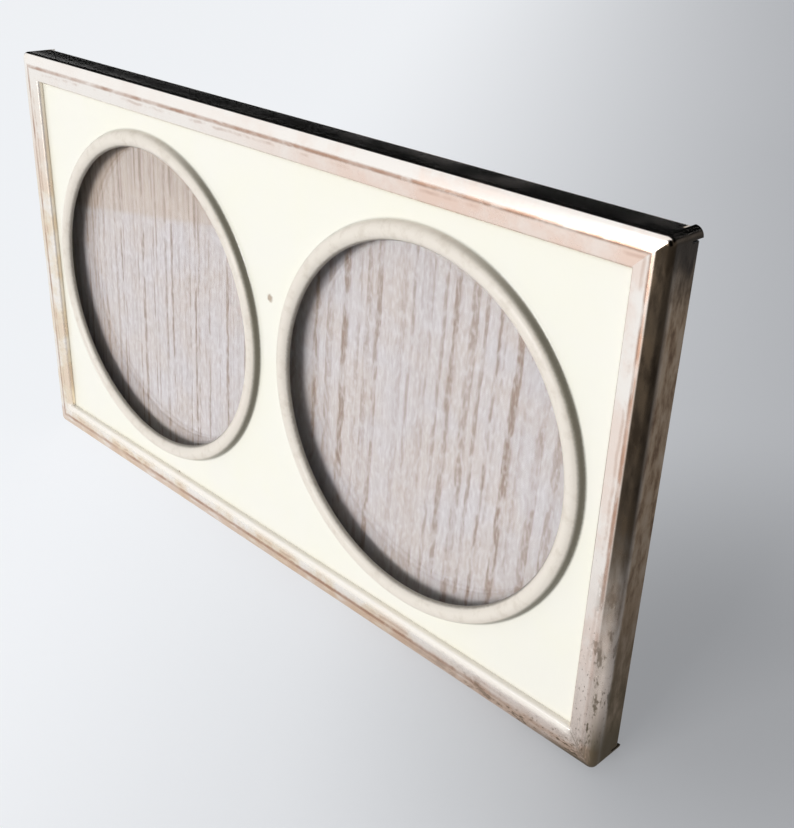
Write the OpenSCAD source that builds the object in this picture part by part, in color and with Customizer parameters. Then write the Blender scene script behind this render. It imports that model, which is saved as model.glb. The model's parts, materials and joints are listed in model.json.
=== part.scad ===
// Double photo frame: a pressed metal frame with two round windows in an enamelled panel,
// glass and card behind it, and an easel back that folds on a hinge.
// The face frame stands on its lower back edge and on the foot of the strut.

/* [Face frame] */
// Width of the panel seen inside the metal frame
sight_w = 149.5; // [140:0.5:170]
// Height of the panel seen inside the metal frame
sight_h = 76; // [74:0.5:95]
// Lean of the standing frame from upright, in degrees
lean = 12; // [8:1:16]

/* [Metal moulding] */
// Width of the moulding, from the panel to the outer wall
rail_w = 5.55; // [5:0.05:7]
// Width of the front facet, from the inner edge to the crest line
facet_w = 2.95; // [2:0.05:3.2]
// Height of the inner edge in front of the panel
edge_h = 1.15; // [0.9:0.05:1.8]
// Height of the crest line in front of the panel
crest_h = 1.5; // [1.3:0.05:2.2]
// Fall of the shoulder outside the crest, in degrees
shoulder_fall = 10; // [5:1:25]
// Outer radius of the bend from the shoulder to the side wall
shoulder_r = 1; // [0.7:0.05:1.3]
// Outer radius of the bend at the inner edge
edge_r = 0.6; // [0.55:0.05:0.8]
// Thickness of the pressed sheet
sheet_t = 0.45; // [0.3:0.05:0.5]
// Radius of the four outer corners, seen from the front
corner_r = 1.4; // [1:0.1:2]
// Width of the lips that are folded in behind the frame
lip_w = 3; // [2.6:0.1:3.4]
// Outer radius of the fold of the lips
fold_r = 0.6; // [0.55:0.05:0.8]
// Length of the unfolded corner tabs behind the lips
tab_h = 0.5; // [0.3:0.05:0.8]
// Width of the slits beside the corner tabs
slit_w = 0.35; // [0.2:0.05:0.6]
// Length of the slits into the side walls
slit_l = 2; // [1:0.1:3]

/* [Enamelled panel] */
// Thickness of the panel sheet
panel_t = 0.4; // [0.3:0.05:0.6]
// Depth of the panel's turned back rim
rim_d = 2.2; // [1.6:0.1:3]
// Distance between the centres of the two windows
window_pitch = 74.5; // [72:0.5:80]
// Radius of the crest circle of each bead
bead_ring_r = 32.75; // [28:0.25:33.5]
// Radius of the half round section of the beads
bead_r = 1.7; // [1.2:0.1:2]
// How far the bead's section turns over on the window side, in degrees
bead_turn = 75; // [60:1:88]

/* [Glass and cards] */
// Thickness of the glass
glass_t = 1.4; // [1:0.1:2.2]
// Thickness of the picture cards
insert_t = 0.2; // [0.15:0.05:0.4]
// Width of the picture cards
insert_w = 72; // [71:0.5:73.5]
// Height of the picture cards
insert_h = 74; // [72:0.5:78]
// Thickness of the filler card
filler_t = 0.3; // [0.2:0.05:1]
// Thickness of the back board
board_t = 1.1; // [1:0.1:2]

/* [Easel] */
// Distance of the hinge pin below the top of the frame
hinge_drop = 21.1; // [17:0.1:27]
// Distance of the pin's axis behind the back board
pin_out = 1.9; // [1.8:0.1:2.6]
// Radius of the hinge pin
pin_r = 0.6; // [0.5:0.05:0.7]
// Angle between the open strut and the back board, in degrees
spread = 24; // [20:1:28]
// Thickness of the strut
strut_t = 1.5; // [1:0.1:1.6]
// Width of the strut at the hinge
strut_top_w = 18; // [14:0.5:18]
// Width of the strut at the foot
strut_foot_w = 34; // [20:1:50]
// Radius of the strut's foot corners
foot_r = 3; // [1:0.5:6]
// Thickness of the hinge plates
hinge_t = 0.5; // [0.4:0.05:0.6]
// Width of the fixed hinge plate over its ears
plate_w = 20; // [19.5:0.5:24]
// Height of the fixed hinge plate above the pin
plate_up = 11; // [10:0.5:14]
// Height of the fixed hinge plate below the pin
plate_down = 3.5; // [2:0.5:5]
// Length of the moving leaf on the strut
leaf_l = 12; // [10:0.5:16]
// Width of the moving leaf at its lower end
leaf_end_w = 12; // [10:0.5:16]
// Width of the leaf's stop tongue
tongue_w = 7; // [4:0.5:8]

/* [Turn buttons] */
// Distance of each button from the frame's upright centre line
button_x = 45; // [30:1:60]
// Distance from the button's rivet to the middle of its nose
button_l = 7.2; // [6:0.1:9]
// Thickness of the buttons
button_t = 0.5; // [0.4:0.05:0.7]
// Radius of the button's round end at the rivet
button_tail_r = 1.45; // [1.3:0.05:1.5]
// Radius of the button's nose
button_nose_r = 1.2; // [0.8:0.05:1.6]

/* [Rivets] */
// Radius of the shanks of the button rivets
button_shank_r = 0.55; // [0.4:0.05:0.6]
// Radius of the heads of the button rivets
button_head_r = 1.05; // [0.9:0.05:1.2]
// Radius of the shanks of the hinge rivets
shank_r = 0.8; // [0.6:0.05:1]
// Radius of the heads of the hinge rivets
head_r = 1.4; // [1.2:0.05:1.6]
// Height of the rivet heads
head_h = 0.5; // [0.3:0.05:0.6]

/* [Fits] */
// Gap between sheets that lie on each other
stack_gap = 0.05; // [0.02:0.01:0.1]
// Gap between the edge of the stack and the folded lips
edge_gap = 0.2; // [0.1:0.05:0.4]
// Radial running gap on pins and rivets
run_gap = 0.05; // [0.02:0.01:0.1]
// Gap between pieces that move past each other
side_gap = 0.3; // [0.2:0.05:0.4]
// Gap left at the hinge's stop
stop_gap = 0.08; // [0.04:0.01:0.2]

/* [Hidden] */
$fn = 96;
overrun = 1;

// Outer size of the metal frame
outer_w = sight_w + 2 * rail_w;
outer_h = sight_h + 2 * rail_w;
// Size of all that lies inside the folded lips
stack_w = outer_w - 2 * lip_w - 2 * edge_gap;
stack_h = outer_h - 2 * lip_w - 2 * edge_gap;

// Depths behind the panel's front face, which is at y = 0
glass_y = rim_d + stack_gap;
insert_y = glass_y + glass_t + stack_gap;
filler_y = insert_y + insert_t + stack_gap;
board_y = filler_y + filler_t + stack_gap;
back_y = board_y + board_t;
tab_y = back_y + tab_h;

// Slope of the front facet, and the centres of the moulding's two bends
facet_rise = atan((crest_h - edge_h) / facet_w);
function facet_v(u, inset) = edge_h + u * tan(facet_rise) - inset / cos(facet_rise);
function shoulder_v(u, inset) = crest_h - (u - facet_w) * tan(shoulder_fall) - inset / cos(shoulder_fall);
edge_c = [edge_r, facet_v(edge_r, edge_r)];
shoulder_c = [rail_w - shoulder_r, shoulder_v(rail_w - shoulder_r, shoulder_r)];
crest_slip = (1 / cos(facet_rise) - 1 / cos(shoulder_fall)) / (tan(facet_rise) + tan(shoulder_fall));

// Hinge: height of the pin, its axis, barrel of the leaf, and the strut's faces about that axis
hinge_z = outer_h - hinge_drop;
axis_y = back_y + pin_out;
barrel_r = pin_r + run_gap + hinge_t;
leaf_y = barrel_r - hinge_t;
strut_y = leaf_y - stack_gap - strut_t;
strut_top = barrel_r + side_gap;
ear_r = barrel_r + side_gap;
barrel_w = plate_w - 2 * hinge_t - 2 * side_gap;
tongue_l = (pin_out - hinge_t - stop_gap + leaf_y * cos(spread)) / sin(spread);
plate_rivet_x = plate_w / 2 - hinge_t - head_r - side_gap;
plate_rivet_z = plate_up - head_r - side_gap;
leaf_rivet_x = leaf_end_w / 2 - head_r;
leaf_rivet_z = leaf_l - head_r - side_gap;
sink_r = head_r - stack_gap;
sink_h = head_h / 2;

// Buttons sit on the middle of the lips' flat
button_in = (lip_w + sheet_t) / 2;
button_z = outer_h / 2 - button_in;
button_y = back_y + run_gap;
hole_r = button_shank_r + run_gap;

// Standing place: the lowest corner tabs and the strut's foot are at z = 0
foot_tilt = spread - lean;
rise_z = tab_y * sin(lean);
axis_z = rise_z + hinge_z * cos(lean) - axis_y * sin(lean);
strut_l = (axis_z + leaf_y * sin(foot_tilt)) / cos(foot_tilt);
front_y = (rail_w - facet_w) * sin(lean) - crest_h * cos(lean);
foot_y = axis_y * cos(lean) + hinge_z * sin(lean) + leaf_y * cos(foot_tilt) + strut_l * sin(foot_tilt);
centre_y = (front_y + foot_y) / 2;

// Puts a piece of the face frame, drawn upright about its middle, in its leaning place
module leaning() {
    translate([0, -centre_y, rise_z])
        rotate([-lean, 0, 0])
            translate([0, 0, outer_h / 2]) children();
}

// Puts a piece of the strut, drawn hanging from the pin's axis, in its open place
module on_strut() {
    leaning()
        translate([0, axis_y, hinge_z - outer_h / 2])
            rotate([spread, 0, 0]) children();
}

// A sheet of the stack, from depth y, drawn about the middle of the frame
module sheet(w, h, t, y) {
    translate([-w / 2, y, -h / 2]) cube([w, t, h]);
}

// A straight pin along the depth, from depth y
module depth_pin(r, t, y) {
    translate([0, y, 0]) rotate([-90, 0, 0]) cylinder(h = t, r = r);
}

// A domed rivet head of radius r and height h, standing on depth y
module dome(r, h, y) {
    ball_r = (r * r + h * h) / (2 * h);
    translate([0, y, 0]) rotate([-90, 0, 0])
        intersection() {
            translate([0, 0, h - ball_r]) sphere(r = ball_r);
            cylinder(h = h, r = r);
        }
}

// Filled section of the moulding: x is outwards from the panel, y is forwards.
// The section is drawn smaller by inset on every face, down to depth d.
module moulding_fill(inset, d) {
    polygon([
        [inset, -d],
        [inset, edge_c.y],
        edge_c + (edge_r - inset) * [-sin(facet_rise), cos(facet_rise)],
        [facet_w + inset * crest_slip, facet_v(facet_w + inset * crest_slip, inset)],
        shoulder_c + (shoulder_r - inset) * [sin(shoulder_fall), cos(shoulder_fall)],
        [rail_w - inset, shoulder_c.y],
        [rail_w - inset, -d]
    ]);
    translate(edge_c) circle(r = edge_r - inset);
    translate(shoulder_c) circle(r = shoulder_r - inset);
}

// Sheet section of the moulding, with its side wall down to depth d
module moulding_sheet(d) {
    difference() {
        moulding_fill(0, d);
        moulding_fill(sheet_t, d + overrun);
        translate([-overrun, -d - overrun])
            square([rail_w - sheet_t, d + overrun + stack_gap]);
    }
}

// Section of the folded lip, its bend, and the foot of the side wall above the bend
module lip_section() {
    translate([rail_w - lip_w, -back_y]) square([lip_w - fold_r, sheet_t]);
    translate([rail_w - sheet_t, fold_r - back_y]) square([sheet_t, fold_r]);
    translate([rail_w - fold_r, -back_y + fold_r])
        intersection() {
            difference() {
                circle(r = fold_r);
                circle(r = fold_r - sheet_t);
            }
            translate([0, -fold_r]) square([fold_r, fold_r]);
        }
}

// Extrudes a moulding section along the top rail, whose panel edge is at z = 0
module along_rail(l) {
    rotate([180, -90, 0]) linear_extrude(height = l, center = true) children();
}

// Plan wedge between the two mitres of a rail over a panel edge of length l
module mitre_wedge(l) {
    rotate([90, 0, 0]) linear_extrude(height = 2 * (tab_y + crest_h), center = true)
        polygon([
            [-l / 2, 0],
            [l / 2, 0],
            [l / 2 + rail_w, rail_w],
            [-l / 2 - rail_w, rail_w]
        ]);
}

// One rail of the moulding: mitred front, straight outer part, and the folded lip
module rail(l) {
    full_l = l + 2 * rail_w;
    inner_w = rail_w - corner_r;
    wall_l = full_l - 2 * corner_r;
    lip_l = wall_l - 2 * slit_w;
    difference() {
        union() {
            intersection() {
                along_rail(full_l)
                    intersection() {
                        moulding_sheet(back_y - fold_r);
                        translate([0, -back_y]) square([inner_w, back_y + 2 * crest_h]);
                    }
                mitre_wedge(l);
            }
            along_rail(wall_l)
                intersection() {
                    moulding_sheet(back_y - fold_r);
                    translate([inner_w, -back_y]) square([corner_r, back_y + 2 * crest_h]);
                }
        }
        for (side = [-1, 1])
            translate([side * (wall_l - slit_w) / 2, back_y - slit_l / 2 + overrun / 2, rail_w])
                cube([slit_w, slit_l + overrun, 2 * lip_w], center = true);
    }
    // The lip stops short of its neighbours, by the width of a slit along the mitres
    intersection() {
        along_rail(lip_l) lip_section();
        mitre_wedge(l - slit_w * sqrt(2));
    }
}

// Outer part of the moulding's section, with x from the centre of the round corners
module corner_section(d) {
    intersection() {
        translate([corner_r - rail_w, 0]) moulding_sheet(d);
        translate([0, -d]) square([corner_r, d + 2 * crest_h]);
    }
}

// One outer corner, turned about its own centre, with the unfolded tab at its back
// and two short straight legs that run into the rails in front of the slits
module corner() {
    translate([outer_w / 2 - corner_r, 0, outer_h / 2 - corner_r]) {
        rotate([90, 0, 0]) rotate_extrude(angle = 90) corner_section(tab_y);
        translate([-corner_r, 0, 0])
            rotate([180, -90, 0]) linear_extrude(height = corner_r) corner_section(back_y - slit_l);
        rotate([180, 0, 0]) linear_extrude(height = corner_r) corner_section(back_y - slit_l);
    }
}

module frame_shell() {
    color("silver")
    leaning()
        difference() {
            union() {
                for (side = [0, 180]) {
                    rotate([0, side, 0]) translate([0, 0, sight_h / 2]) rail(sight_w);
                    rotate([0, side + 90, 0]) translate([0, 0, sight_w / 2]) rail(sight_h);
                    rotate([0, side, 0]) corner();
                    rotate([0, side, 0]) mirror([1, 0, 0]) corner();
                }
            }
            at_buttons() depth_pin(button_shank_r + stack_gap, back_y + overrun, overrun);
        }
}

// Repeats a piece at the four button rivets, nose towards the middle of the frame
module at_buttons() {
    for (side = [-1, 1]) {
        translate([side * button_x, 0, button_z]) children();
        translate([side * button_x, 0, -button_z]) rotate([0, 180, 0]) children();
    }
}

// Section of one bead: x is from the window's axis, y is forwards
module bead_section() {
    translate([bead_ring_r, 0])
        intersection() {
            difference() {
                circle(r = bead_r);
                circle(r = bead_r - panel_t);
            }
            polygon([
                [0, 0],
                2 * bead_r * [-sin(bead_turn), cos(bead_turn)],
                [-bead_r, 2 * bead_r],
                [2 * bead_r, 2 * bead_r],
                [2 * bead_r, 0]
            ]);
        }
}

module mat_panel() {
    color("ivory")
    leaning() {
        difference() {
            sheet(stack_w, stack_h, rim_d, 0);
            sheet(stack_w - 2 * panel_t, stack_h - 2 * panel_t, rim_d, panel_t);
            for (side = [-1, 1])
                translate([side * window_pitch / 2, 0, 0])
                    depth_pin(bead_ring_r + bead_r - panel_t, panel_t + 2 * overrun, -overrun);
        }
        for (side = [-1, 1])
            translate([side * window_pitch / 2, 0, 0])
                rotate([90, 0, 0]) rotate_extrude() bead_section();
    }
}

module glass_pane() {
    color("lightcyan", 0.35) leaning() sheet(stack_w, stack_h, glass_t, glass_y);
}

// One picture card behind its window
module insert_card(side) {
    color("rosybrown")
        leaning() translate([side * window_pitch / 2, 0, 0]) sheet(insert_w, insert_h, insert_t, insert_y);
}

module filler_board() {
    color("tan") leaning() sheet(stack_w, stack_h, filler_t, filler_y);
}

module back_board() {
    color("saddlebrown")
    leaning()
        difference() {
            sheet(stack_w, stack_h, board_t, board_y);
            at_plate_rivets() {
                depth_pin(shank_r + stack_gap, board_t + 2 * overrun, board_y - overrun);
                depth_pin(head_r, sink_h + overrun, board_y - overrun);
            }
        }
}

// Repeats a piece at the two rivets of the fixed hinge plate
module at_plate_rivets() {
    for (side = [-1, 1])
        translate([side * plate_rivet_x, 0, hinge_z - outer_h / 2 + plate_rivet_z]) children();
}

// One upright ear of the hinge plate, about the pin's axis
module ear() {
    rotate([90, 0, 90]) linear_extrude(height = hinge_t)
        difference() {
            union() {
                circle(r = ear_r);
                translate([-pin_out, -ear_r]) square([pin_out, 2 * ear_r]);
            }
            circle(r = pin_r + run_gap);
        }
}

module hinge_plate() {
    color("darkgray")
    leaning() {
        difference() {
            translate([-plate_w / 2, back_y, hinge_z - outer_h / 2 - plate_down])
                cube([plate_w, hinge_t, plate_up + plate_down]);
            at_plate_rivets() depth_pin(shank_r + stack_gap, hinge_t + 2 * overrun, back_y - overrun);
        }
        for (side = [-1, 1])
            translate([side * (plate_w - hinge_t) / 2 - hinge_t / 2, axis_y, hinge_z - outer_h / 2]) ear();
    }
}

// A rivet whose head stands on depth y and whose tail is sunk in the far face, l further in
module sunk_rivet(l, y) {
    dome(head_r, head_h, y);
    depth_pin(shank_r, l + stack_gap, y - l);
    depth_pin(sink_r, sink_h - stack_gap, y - l);
}

module hinge_plate_rivets() {
    color("dimgray") leaning() at_plate_rivets() sunk_rivet(hinge_t + board_t, back_y + hinge_t);
}

module hinge_pin() {
    color("gainsboro")
    leaning()
        translate([0, axis_y, hinge_z - outer_h / 2])
            rotate([0, 90, 0]) {
                cylinder(h = plate_w + 2 * stack_gap, r = pin_r, center = true);
                for (side = [-1, 1])
                    translate([0, 0, side * (plate_w / 2 + stack_gap + hinge_t / 2)])
                        cylinder(h = hinge_t, r = pin_r + hinge_t, center = true);
            }
}

// Outline of the moving leaf, hanging from the pin, with the stop tongue above it
module leaf_outline() {
    polygon([
        [-barrel_w / 2, 0],
        [-barrel_w / 2, -strut_top - head_r],
        [-leaf_end_w / 2, -leaf_l],
        [leaf_end_w / 2, -leaf_l],
        [barrel_w / 2, -strut_top - head_r],
        [barrel_w / 2, 0],
        [tongue_w / 2, 0],
        [tongue_w / 2, tongue_l],
        [-tongue_w / 2, tongue_l],
        [-tongue_w / 2, 0]
    ]);
}

// Repeats a piece at the two rivets of the leaf, about the pin's axis
module at_leaf_rivets() {
    for (side = [-1, 1])
        translate([side * leaf_rivet_x, 0, -leaf_rivet_z]) children();
}

module strut_leaf() {
    color("darkgray")
    on_strut()
        difference() {
            union() {
                rotate([0, 90, 0]) cylinder(h = barrel_w, r = barrel_r, center = true);
                translate([0, barrel_r, 0]) rotate([90, 0, 0]) linear_extrude(height = hinge_t) leaf_outline();
            }
            rotate([0, 90, 0]) cylinder(h = barrel_w + 2 * overrun, r = pin_r + run_gap, center = true);
            at_leaf_rivets() depth_pin(shank_r + stack_gap, hinge_t + 2 * overrun, leaf_y - overrun);
        }
}

module strut_leaf_rivets() {
    color("dimgray") on_strut() at_leaf_rivets() sunk_rivet(hinge_t + stack_gap + strut_t, barrel_r);
}

// Outline of the strut, widening to a foot with round corners
module strut_outline() {
    flare = (strut_foot_w - strut_top_w) / 2 / (strut_l - strut_top);
    round_z = foot_r - strut_l;
    round_x = strut_foot_w / 2 - flare * foot_r - foot_r;
    polygon([
        [-strut_top_w / 2, -strut_top],
        [-round_x - foot_r, round_z],
        [-round_x, -strut_l],
        [round_x, -strut_l],
        [round_x + foot_r, round_z],
        [strut_top_w / 2, -strut_top]
    ]);
    for (side = [-1, 1]) translate([side * round_x, round_z]) circle(r = foot_r);
}

module strut_board() {
    color("saddlebrown")
    difference() {
        on_strut()
            difference() {
                translate([0, strut_y + strut_t, 0]) rotate([90, 0, 0])
                    linear_extrude(height = strut_t) strut_outline();
                at_leaf_rivets() {
                    depth_pin(shank_r + stack_gap, strut_t + 2 * overrun, strut_y - overrun);
                    depth_pin(head_r, sink_h + overrun, strut_y - overrun);
                }
            }
        translate([-strut_foot_w, -2 * outer_h, -outer_h]) cube([2 * strut_foot_w, 4 * outer_h, outer_h]);
    }
}

// One turn button about its rivet, with its nose down over the back board
module button() {
    rotate([-90, 0, 0])
        linear_extrude(height = button_t)
            difference() {
                union() {
                    circle(r = button_tail_r);
                    translate([0, button_l]) circle(r = button_nose_r);
                    polygon([
                        [-button_tail_r, 0],
                        [button_tail_r, 0],
                        [button_nose_r, button_l],
                        [-button_nose_r, button_l]
                    ]);
                }
                circle(r = hole_r);
            }
}

// A button at one corner of the button pattern
module placed_button(side, up) {
    color("darkgray")
    leaning()
        translate([side * button_x, button_y, up * button_z])
            rotate([0, up > 0 ? 0 : 180, 0]) button();
}

module button_rivets() {
    color("dimgray")
    leaning()
        at_buttons() {
            dome(button_head_r, head_h, button_y + button_t + run_gap);
            depth_pin(button_shank_r, sheet_t + button_t + 4 * run_gap, back_y - sheet_t - run_gap);
            depth_pin(button_head_r - 2 * run_gap, sink_h, back_y - sheet_t - sink_h - stack_gap);
        }
}

frame_shell();
mat_panel();
glass_pane();
insert_card(-1);  // insert_left
insert_card(1);  // insert_right
filler_board();
back_board();
hinge_plate();
hinge_plate_rivets();
hinge_pin();
strut_leaf();
strut_leaf_rivets();
strut_board();
button_rivets();
placed_button(-1, 1);  // button_top_left
placed_button(1, 1);  // button_top_right
placed_button(-1, -1);  // button_bottom_left
placed_button(1, -1);  // button_bottom_right
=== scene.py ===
"""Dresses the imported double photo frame: worn plated moulding, cream enamel panel with two raised
rings, glass, picture cards, and the covered easel back with its hinge and turn buttons."""

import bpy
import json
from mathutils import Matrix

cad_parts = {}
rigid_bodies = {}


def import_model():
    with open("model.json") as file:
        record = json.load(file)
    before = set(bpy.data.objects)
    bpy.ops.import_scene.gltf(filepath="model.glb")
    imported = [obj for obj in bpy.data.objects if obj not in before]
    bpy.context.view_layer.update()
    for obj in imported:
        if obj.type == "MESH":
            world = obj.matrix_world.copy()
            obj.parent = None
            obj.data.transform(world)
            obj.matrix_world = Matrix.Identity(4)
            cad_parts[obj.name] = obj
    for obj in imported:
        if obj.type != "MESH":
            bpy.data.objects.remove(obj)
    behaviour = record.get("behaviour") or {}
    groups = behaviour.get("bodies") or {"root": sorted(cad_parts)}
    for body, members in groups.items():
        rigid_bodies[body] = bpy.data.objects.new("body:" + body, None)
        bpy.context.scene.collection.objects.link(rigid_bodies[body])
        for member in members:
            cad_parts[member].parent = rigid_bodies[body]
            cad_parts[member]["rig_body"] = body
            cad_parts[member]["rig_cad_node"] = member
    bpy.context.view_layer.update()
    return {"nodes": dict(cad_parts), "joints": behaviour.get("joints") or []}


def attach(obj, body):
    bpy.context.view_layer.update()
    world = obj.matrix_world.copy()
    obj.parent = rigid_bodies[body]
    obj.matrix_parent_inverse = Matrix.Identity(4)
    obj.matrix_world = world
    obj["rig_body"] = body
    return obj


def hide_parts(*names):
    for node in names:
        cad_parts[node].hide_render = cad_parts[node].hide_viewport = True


bl_info = {
    "name": "Double Photo Frame",
    "version": (1, 0, 0),
    "blender": (4, 5, 0),
    "location": "View3D > Sidebar > Photo Frame",
    "description": "Models the pieces of a double photo frame round its packed construction",
    "category": "Object",
}

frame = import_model()

import json
import math
from types import SimpleNamespace

import bmesh
import bpy
from bpy.props import FloatProperty, FloatVectorProperty, IntProperty, PointerProperty
from mathutils import Euler, Matrix, Vector

MM = 0.001
# Points nearer than this are one point
TOUCH = 0.001 * MM
# How far a cutter reaches past what it cuts
OVERRUN = 1 * MM
# Width of the strips that keep a flat stretch flat when it is smooth
BEND_STRIP = 0.07 * MM
PANEL_STRIP = 0.3 * MM
# Turn that stands a flat primitive up
UPRIGHT = (math.pi / 2, 0, 0)
# Which way along the y axis a face looks
FORWARDS = -1
BACK = 1
CATEGORY = "Photo Frame"


def joint(name):
    """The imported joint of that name."""
    return next(j for j in frame["joints"] if j["name"] == name)


# The lean of the face comes from the axis of a turn button, and its place from the button's pivot
BUTTON_AXIS = Vector(joint("button_bottom_left_turn")["axis"])
BUTTON_PIVOT = Vector(joint("button_bottom_left_turn")["pos_m"])
HINGE_PIVOT = Vector(joint("strut_hinge")["pos_m"])
LEAN = math.atan2(-BUTTON_AXIS.z, BUTTON_AXIS.y)


def length(name, about, value):
    """A length in metres that a user may change, given here in millimetres."""
    return FloatProperty(
        name=name, description=about, default=value * MM, min=0.0, unit="LENGTH", precision=5
    )


def angle(name, about, degrees):
    """An angle that a user may change, given here in degrees."""
    return FloatProperty(name=name, description=about, default=math.radians(degrees), unit="ROTATION")


def tint(name, about, value):
    """A colour that a user may change."""
    return FloatVectorProperty(
        name=name, description=about, default=value, subtype="COLOR", size=3, min=0, max=1
    )


class FrameSizes(bpy.types.PropertyGroup):
    """Sizes of the photo frame's pieces"""

    sight_w: length("Panel width", "Width of the panel seen inside the moulding", 149.5)
    sight_h: length("Panel height", "Height of the panel seen inside the moulding", 76.0)
    rail_w: length("Moulding width", "Width of the moulding seen from the front", 5.55)
    facet_w: length("Facet width", "Width of the moulding's front facet", 2.95)
    edge_h: length("Inner edge", "Height of the moulding's inner edge over the panel", 1.15)
    crest_h: length("Crest height", "Height of the moulding's crest over the panel", 1.5)
    crest_r: length("Crest radius", "Radius of the crest line", 0.12)
    shoulder_r: length("Shoulder radius", "Radius between the shoulder and the side wall", 1.0)
    edge_r: length("Edge radius", "Radius of the moulding's inner edge", 0.6)
    sheet_t: length("Sheet thickness", "Thickness of the moulding's sheet", 0.45)
    corner_r: length("Corner radius", "Radius of the outer corners", 1.4)
    lip_w: length("Lip width", "Width of the lips folded behind the frame", 3.0)
    fold_r: length("Fold radius", "Radius of the lips' fold", 0.6)
    slit_w: length("Slit width", "Width of the slits beside the corner tabs", 0.35)
    slit_l: length("Slit length", "Length of the slits in the side walls", 2.0)
    back_y: length("Back depth", "Depth of the lips' back face behind the panel", 5.4)
    tab_y: length("Tab depth", "Depth of the corner tabs behind the panel", 5.9)
    stack_w: length("Stack width", "Width of the panel, glass and boards", 154.2)
    stack_h: length("Stack height", "Height of the panel, glass and boards", 80.7)
    panel_t: length("Panel thickness", "Thickness of the enamelled sheet", 0.4)
    rim_d: length("Rim depth", "Depth of the panel's turned back rim", 2.2)
    window_pitch: length("Window pitch", "Distance between the windows' centres", 74.5)
    ring_r: length("Ring radius", "Radius of the crest circle of the raised rings", 32.75)
    bead_r: length("Bead radius", "Radius of the rings' half round section", 1.7)
    foot_r: length("Bead foot", "Fillet between the rings and the flat panel", 0.35)
    board_y: length("Board depth", "Depth of the back board's front face", 4.3)
    board_t: length("Board thickness", "Thickness of the back board", 1.1)
    strut_t: length("Strut thickness", "Thickness of the strut", 1.5)
    strut_top_w: length("Strut top", "Width of the strut at its hinge", 18.0)
    strut_foot_w: length("Strut foot", "Width of the strut at its foot", 34.0)
    strut_top: length("Strut start", "Distance from the pin to the strut's top edge", 1.45)
    strut_l: length("Strut length", "Distance from the pin to the end of the strut", 65.84)
    strut_y: length("Strut offset", "Distance of the strut's front face before the pin's axis", 0.9)
    strut_round: length("Strut corners", "Radius of the strut's foot corners", 3.0)
    seat: length("Seat gap", "Gap between pieces that lie on each other", 0.05)
    panel_bend: length("Panel bend", "Radius between the panel and its rim", 0.4)
    board_edge: length("Board edge", "Radius of the back board's covered edges", 0.28)
    strut_edge: length("Strut edge", "Radius of the strut's covered edges", 0.3)
    metal_edge: length("Metal edge", "Width of the softened edges of hinge and buttons", 0.07)
    spread: angle("Spread", "Angle of the open strut", 24)
    shoulder_fall: angle("Shoulder fall", "Slope of the shoulder", 10)
    bead_turn: angle("Bead turn", "How far the rings turn over their windows", 75)
    ring_steps: IntProperty(
        name="Ring steps", description="Points round each ring", default=144, min=32, max=256
    )


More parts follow.
